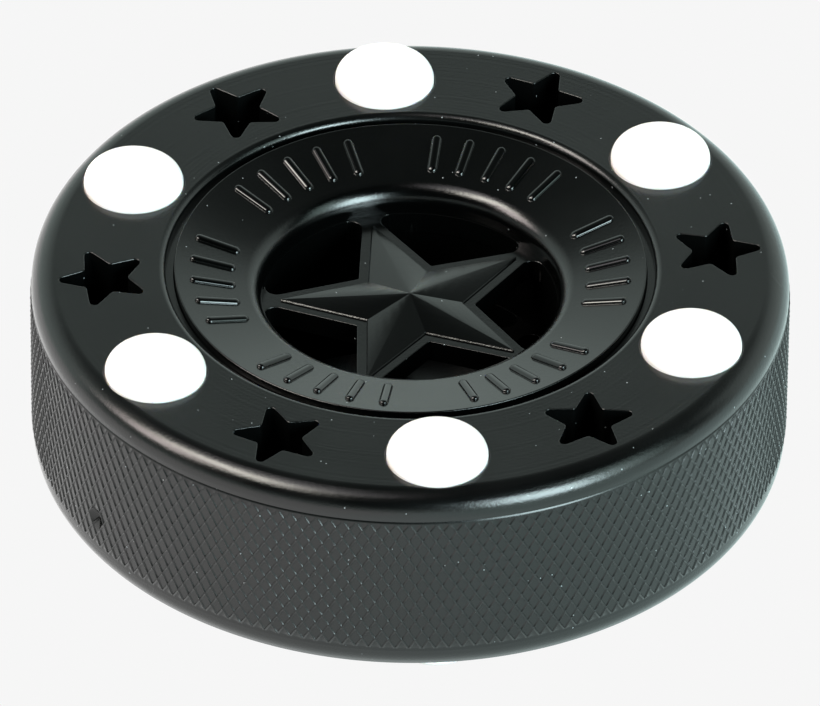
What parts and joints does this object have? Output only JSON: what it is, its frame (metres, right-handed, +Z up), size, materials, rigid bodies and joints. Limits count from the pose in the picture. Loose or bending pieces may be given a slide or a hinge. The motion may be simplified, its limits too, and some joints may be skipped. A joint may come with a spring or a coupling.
{
  "type": "hockey puck",
  "caption": "Round sports puck with a knurled rim, star-shaped vents, raised white glides on both faces and a snap-in hub whose open centre is bridged by a ridged star web.",
  "frame": {"origin": "centre of the plane the lower glides stand on", "axes": "+Z up along the puck's axis, +X through the middle of one glide and along one arm of the hub web"},
  "size_m": [0.0762, 0.0762, 0.0254],
  "materials": {
    "body_plastic": "charcoal moulded plastic, fine satin grain, diamond knurl on the rim",
    "hub_plastic": "black moulded plastic, satin grain with polished ribs and lip",
    "glide_nylon": "smooth white nylon"
  },
  "bodies": {
    "root": {"body": "body_plastic", "hub_top": "hub_plastic", "hub_bottom": "hub_plastic", "glide_top_1": "glide_nylon", "glide_top_2": "glide_nylon", "glide_top_3": "glide_nylon", "glide_top_4": "glide_nylon", "glide_top_5": "glide_nylon", "glide_top_6": "glide_nylon", "glide_bottom_1": "glide_nylon", "glide_bottom_2": "glide_nylon", "glide_bottom_3": "glide_nylon", "glide_bottom_4": "glide_nylon", "glide_bottom_5": "glide_nylon", "glide_bottom_6": "glide_nylon"}
  },
  "joints": []
}
